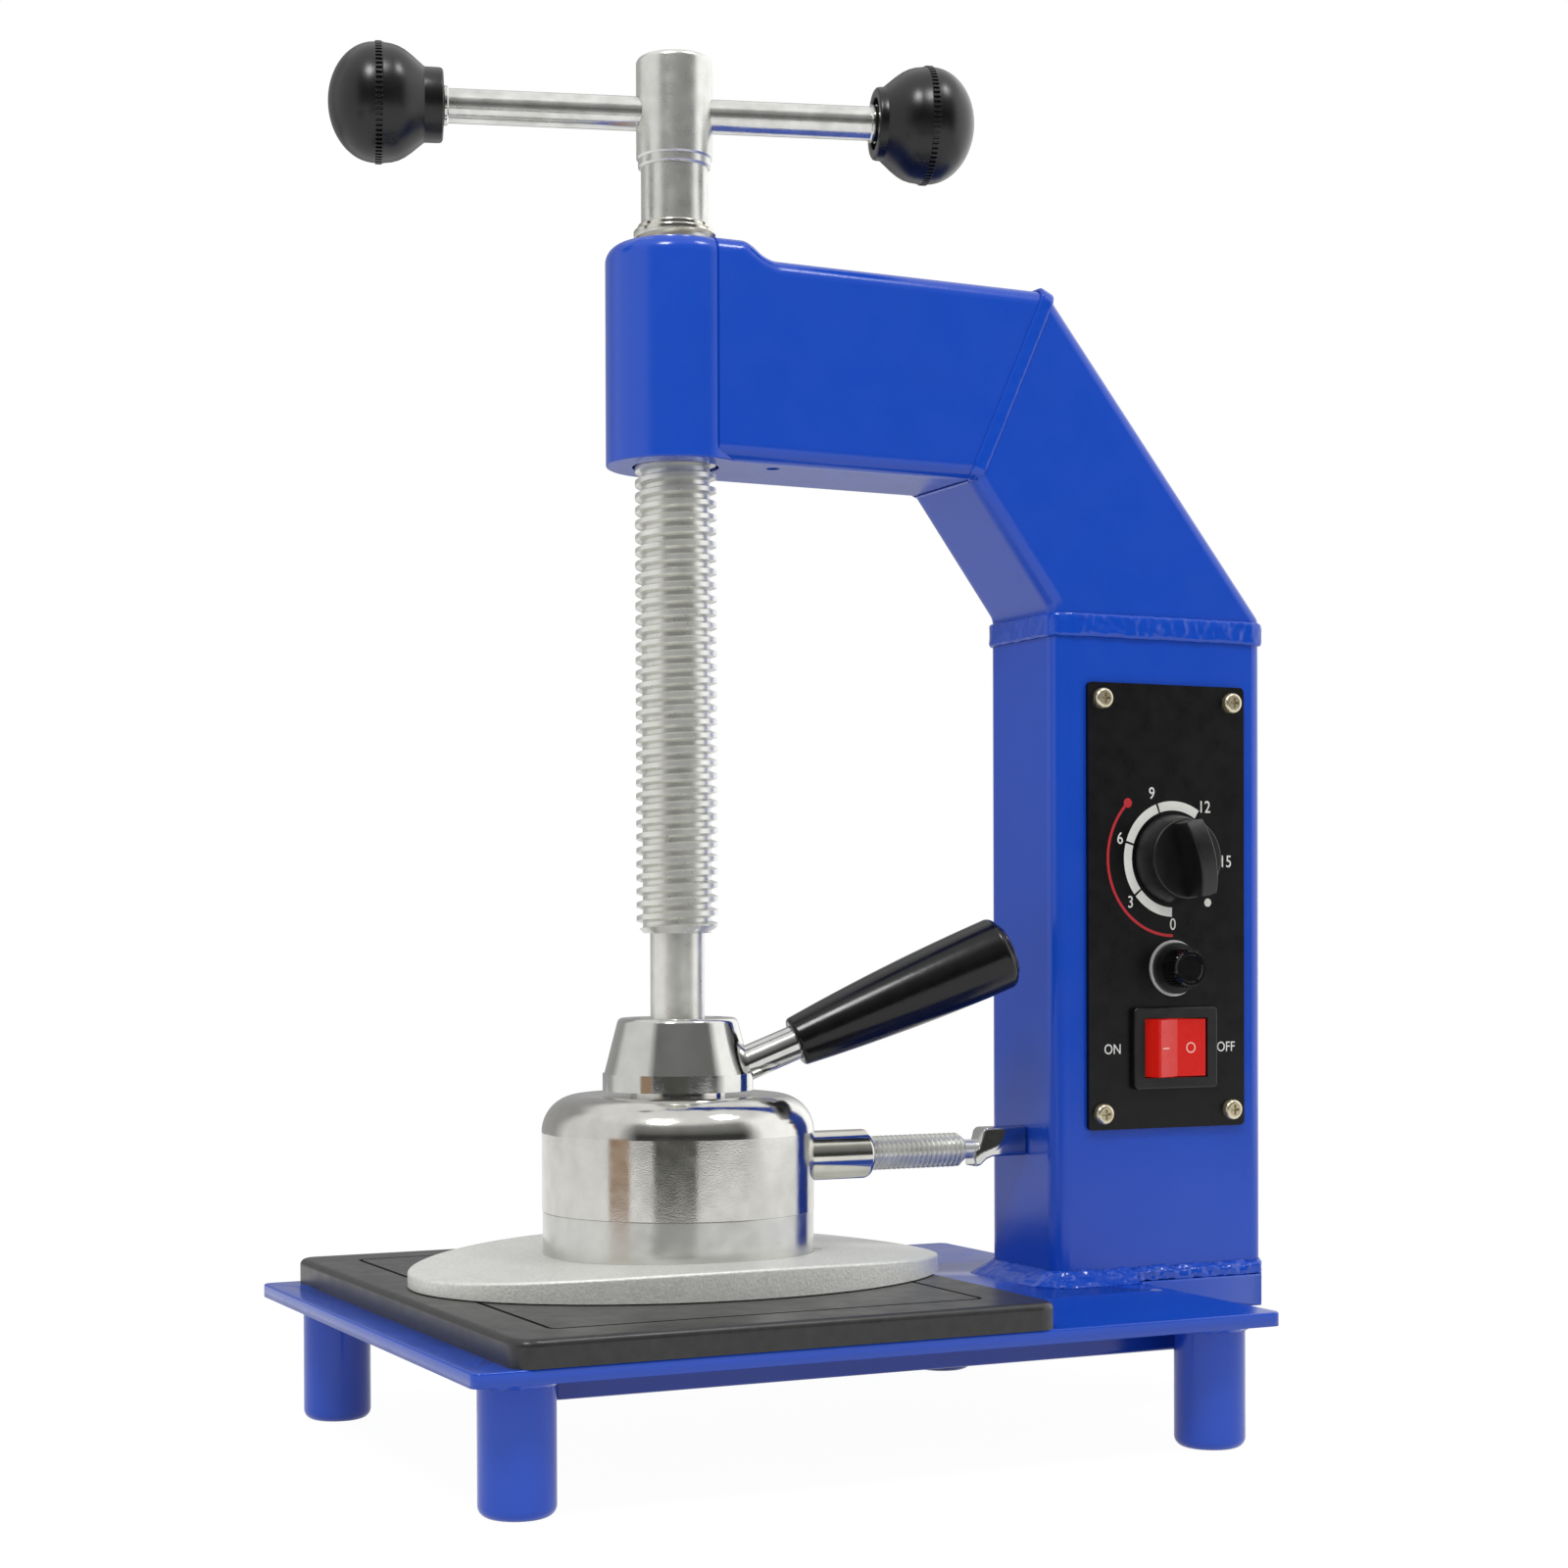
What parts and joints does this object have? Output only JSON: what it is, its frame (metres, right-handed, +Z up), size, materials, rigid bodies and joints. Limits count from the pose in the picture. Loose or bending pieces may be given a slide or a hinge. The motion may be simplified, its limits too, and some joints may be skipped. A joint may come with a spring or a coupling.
{
  "type": "tire vulcanizer",
  "caption": "Bench screw press on a welded C-frame: an oval plate presses a patch on a heated platen, with timer, fuse and switch on the column.",
  "frame": {"origin": "on the bench, under the middle of the base plate", "axes": "+Z up, along the spindle; +X from the press towards the column; -Y is the operator's side with the control panel"},
  "size_m": [0.2979, 0.197, 0.4076],
  "materials": {
    "blue_enamel": "gloss enamel",
    "blue_tray": "gloss enamel",
    "black_platen": "satin black coating",
    "heater_foil": "foil",
    "insulating_board": "matt board",
    "zinc_steel": "zinc plated",
    "yellow_zinc": "yellow passivated zinc",
    "black_moulding": "moulded",
    "bronze": "machined",
    "black_panel": "matt black paint",
    "bright_steel": "polished",
    "satin_nickel": "satin nickel",
    "fuse_glass": "clear",
    "red_rocker": "translucent gloss",
    "cast_aluminium": "blasted casting",
    "turned_aluminium": "turned",
    "chrome": "polished",
    "black_ball": "satin moulded",
    "black_grip": "moulded",
    "glossy_cap": "gloss"
  },
  "bodies": {
    "frame": {"base_plate": "blue_enamel", "foot_front_near": "blue_enamel", "foot_front_far": "blue_enamel", "foot_rear_near": "blue_enamel", "foot_rear_far": "blue_enamel", "foot_welds": "blue_enamel", "platen": "black_platen", "lower_heater": "heater_foil", "heater_insulation": "insulating_board", "platen_screws": "zinc_steel", "bottom_tray": "blue_tray", "tray_screws": "zinc_steel", "thermostat": "black_moulding", "terminal_block": "black_moulding", "column": "blue_enamel", "slope_section": "blue_enamel", "arm": "blue_enamel", "nut_housing": "blue_enamel", "spindle_nut": "bronze", "mitre_weld": "blue_enamel", "column_top_weld": "blue_enamel", "column_base_weld": "blue_enamel", "control_panel": "black_panel", "panel_screws": "yellow_zinc", "timer_body": "black_moulding", "fuse_holder": "black_moulding", "fuse_washer": "bright_steel", "glass_fuse": "fuse_glass", "switch_housing": "black_moulding", "cord_gland": "black_moulding"},
    "press_head": {"pressing_plate": "cast_aluminium", "press_plate_screws": "zinc_steel", "head_disc": "turned_aluminium", "head_cap": "chrome", "thrust_washer": "bronze", "guide_ferrule": "satin_nickel", "guide_stud": "bright_steel", "guide_shoe": "bright_steel"},
    "spindle": {"lead_screw": "zinc_steel", "thrust_collar": "zinc_steel", "collar_pin": "zinc_steel", "top_washers": "bright_steel", "neck_sleeve": "bright_steel", "t_cap": "satin_nickel"},
    "t_bar": {"cross_bar": "bright_steel", "ball_left": "black_ball", "ball_right": "black_ball"},
    "lock_lever": {"cone_hub": "chrome", "lever_stem": "bright_steel", "lever_grip": "black_grip", "grip_end_cap": "glossy_cap"},
    "timer_dial": {"timer_knob": "black_moulding", "timer_shaft": "bright_steel"},
    "fuse_cap": {"fuse_cap": "black_moulding"},
    "rocker": {"rocker": "red_rocker"}
  },
  "joints": [
    {"name": "head_slide", "type": "slide", "parent": "frame", "child": "press_head", "axis": [0, 0, 1], "range_m": [0, 0.11]},
    {"name": "screw_turn", "type": "hinge", "parent": "press_head", "child": "spindle", "pos_m": [-0.0495, 0, 0.25], "axis": [0, 0, 1], "range_deg": [0, 9900]},
    {"name": "bar_slide", "type": "slide", "parent": "spindle", "child": "t_bar", "axis": [0.9578, -0.2874, 0], "range_m": [-0.046, 0.054]},
    {"name": "lever_swing", "type": "hinge", "parent": "press_head", "child": "lock_lever", "pos_m": [-0.0495, 0, 0.11], "axis": [0, 0, 1], "range_deg": [-60, 0]},
    {"name": "timer_turn", "type": "hinge", "parent": "frame", "child": "timer_dial", "pos_m": [0.1105, -0.022, 0.1721], "axis": [0, 1, 0], "range_deg": [0, 310]},
    {"name": "fuse_cap_turn", "type": "hinge", "parent": "frame", "child": "fuse_cap", "pos_m": [0.1105, -0.025, 0.1379], "axis": [0, 1, 0], "range_deg": [-45, 0]},
    {"name": "rocker_press", "type": "hinge", "parent": "frame", "child": "rocker", "pos_m": [0.1105, -0.0205, 0.113], "axis": [0, 0, 1], "range_deg": [-24, 0]}
  ],
  "couplings": [
    {"joint": "head_slide", "follows": "screw_turn", "m_per_rad": 0.00063662}
  ]
}
